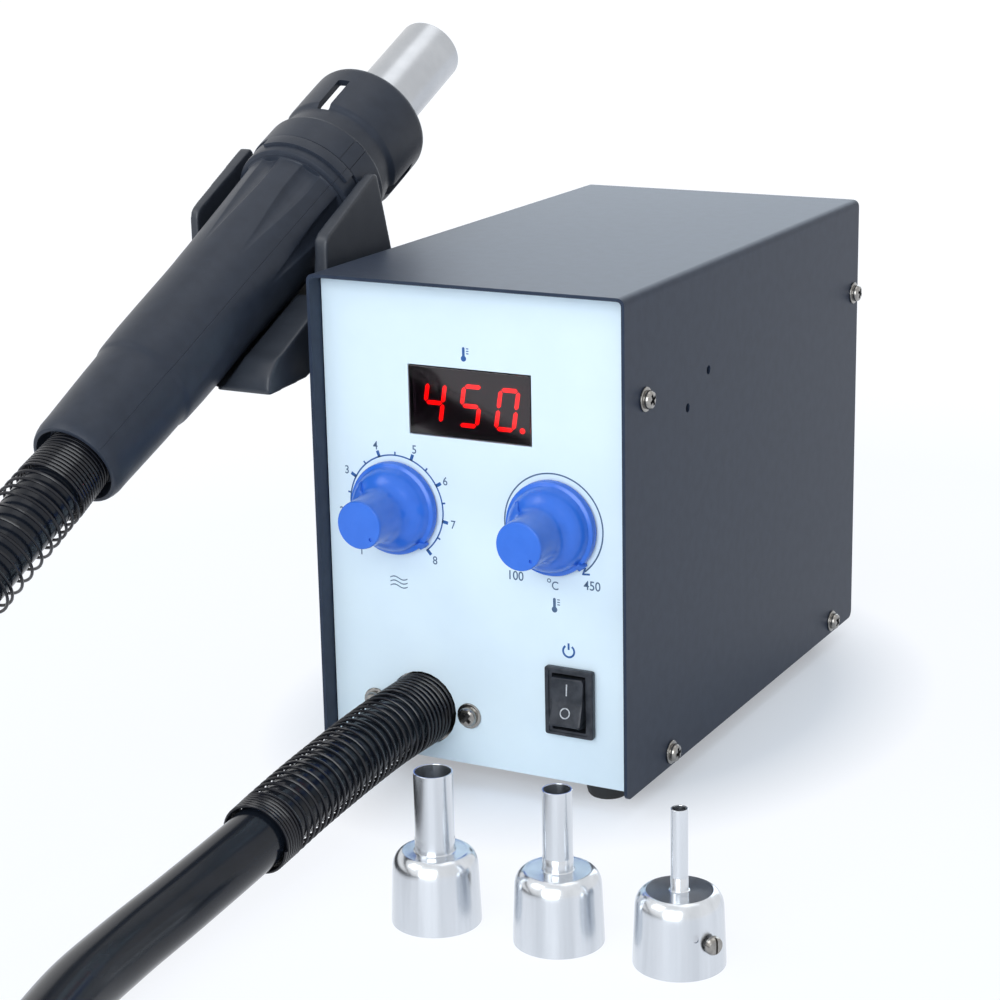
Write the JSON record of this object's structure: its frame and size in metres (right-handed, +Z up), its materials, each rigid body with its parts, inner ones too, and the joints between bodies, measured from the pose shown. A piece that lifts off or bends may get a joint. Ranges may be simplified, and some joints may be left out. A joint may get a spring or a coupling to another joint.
{
  "type": "hot air rework station",
  "caption": "Bench unit with an air blower, two dials, a display and a rocker switch; a hot air handpiece on a hose rests in a side cradle; loose nozzles stand in front.",
  "frame": {"origin": "on the bench, under the middle of the footprint of the station, handpiece, cradle and nozzles, with the hose and its springs left out", "axes": "+X to the right as the front panel is faced, +Y from the front panel to the rear, +Z up"},
  "size_m": [0.2182, 0.5964, 0.2102],
  "materials": {
    "powder_coat": "fine matte powder coat",
    "panel_paint": "satin",
    "smoked_lens": "glossy",
    "display_body": "matte",
    "board": "satin",
    "black_plastic": "satin",
    "knob_blue": "glossy",
    "nickel": "bright plated",
    "feet_rubber": "matte",
    "hose_rubber": "glossy",
    "spring_wire": "glossy black",
    "transformer_iron": "matte",
    "coil_copper": "satin",
    "blower_plastic": "satin",
    "heat_sink_aluminium": "satin",
    "handle_plastic": "fine texture",
    "polished_steel": "polished",
    "heater_ceramic": "matte"
  },
  "bodies": {
    "station": {"cover": "powder_coat", "chassis_tray": "powder_coat", "front_panel": "panel_paint", "rear_panel": "powder_coat", "display_window": "smoked_lens", "led_display": "display_body", "control_board": "board", "air_potentiometer": "black_plastic", "temperature_potentiometer": "black_plastic", "air_pot_nut": "nickel", "temperature_pot_nut": "nickel", "rocker_housing": "black_plastic", "hose_clamp_plate": "nickel", "port_screw_left": "nickel", "port_screw_right": "nickel", "foot_front_left": "feet_rubber", "foot_front_right": "feet_rubber", "foot_rear_left": "feet_rubber", "foot_rear_right": "feet_rubber", "transformer_core": "transformer_iron", "transformer_coil": "coil_copper", "blower_housing": "blower_plastic", "blower_cover": "blower_plastic", "blower_motor": "transformer_iron", "air_duct": "blower_plastic", "main_board": "board", "heat_sink": "heat_sink_aluminium", "mains_inlet": "black_plastic", "cradle": "black_plastic", "cradle_screw_front": "nickel", "cradle_screw_rear": "nickel", "port_spring": "spring_wire", "hose_station_side": "hose_rubber", "cover_screw_left_upper_front": "nickel", "cover_screw_left_upper_rear": "nickel", "cover_screw_left_lower_front": "nickel", "cover_screw_left_lower_rear": "nickel", "cover_screw_right_upper_front": "nickel", "cover_screw_right_upper_rear": "nickel", "cover_screw_right_lower_front": "nickel", "cover_screw_right_lower_rear": "nickel"},
    "air_knob": {"air_knob": "knob_blue", "air_shaft": "nickel"},
    "temperature_knob": {"temperature_knob": "knob_blue", "temperature_shaft": "nickel"},
    "rocker": {"rocker": "black_plastic"},
    "blower_rotor": {"blower_rotor": "blower_plastic"},
    "handpiece": {"handle_upper_shell": "handle_plastic", "handle_lower_shell": "handle_plastic", "nose_collar": "handle_plastic", "barrel": "polished_steel", "heater_core": "heater_ceramic", "tail_spring": "spring_wire", "hose_handpiece_side": "hose_rubber"},
    "nozzle_large": {"nozzle_large": "polished_steel", "nozzle_screw_large": "nickel"},
    "nozzle_medium": {"nozzle_medium": "polished_steel", "nozzle_screw_medium": "nickel"},
    "nozzle_small": {"nozzle_small": "polished_steel", "nozzle_screw_small": "nickel"}
  },
  "joints": [
    {"name": "air_knob_turn", "type": "hinge", "parent": "station", "child": "air_knob", "pos_m": [-0.0294, -0.04115, 0.0823], "axis": [0, 1, 0], "range_deg": [-280, 0]},
    {"name": "temperature_knob_turn", "type": "hinge", "parent": "station", "child": "temperature_knob", "pos_m": [0.02141, -0.04115, 0.0823], "axis": [0, 1, 0], "range_deg": [-280, 0]},
    {"name": "rocker_tilt", "type": "hinge", "parent": "station", "child": "rocker", "pos_m": [0.02651, -0.04115, 0.03115], "axis": [1, 0, 0], "range_deg": [0, 22]},
    {"name": "blower_spin", "type": "hinge", "parent": "station", "child": "blower_rotor", "pos_m": [-0.01069, 0.02495, 0.0449], "axis": [1, 0, 0], "continuous": true},
    {"name": "handpiece_lift", "type": "slide", "parent": "station", "child": "handpiece", "axis": [-0.0173, -0.4452, 0.8952], "range_m": [0, 0.08]},
    {"name": "large_nozzle_lift", "type": "slide", "parent": "station", "child": "nozzle_large", "axis": [0, 0, 1], "range_m": [0, 0.06]},
    {"name": "medium_nozzle_lift", "type": "slide", "parent": "station", "child": "nozzle_medium", "axis": [0, 0, 1], "range_m": [0, 0.06]},
    {"name": "small_nozzle_lift", "type": "slide", "parent": "station", "child": "nozzle_small", "axis": [0, 0, 1], "range_m": [0, 0.06]}
  ]
}
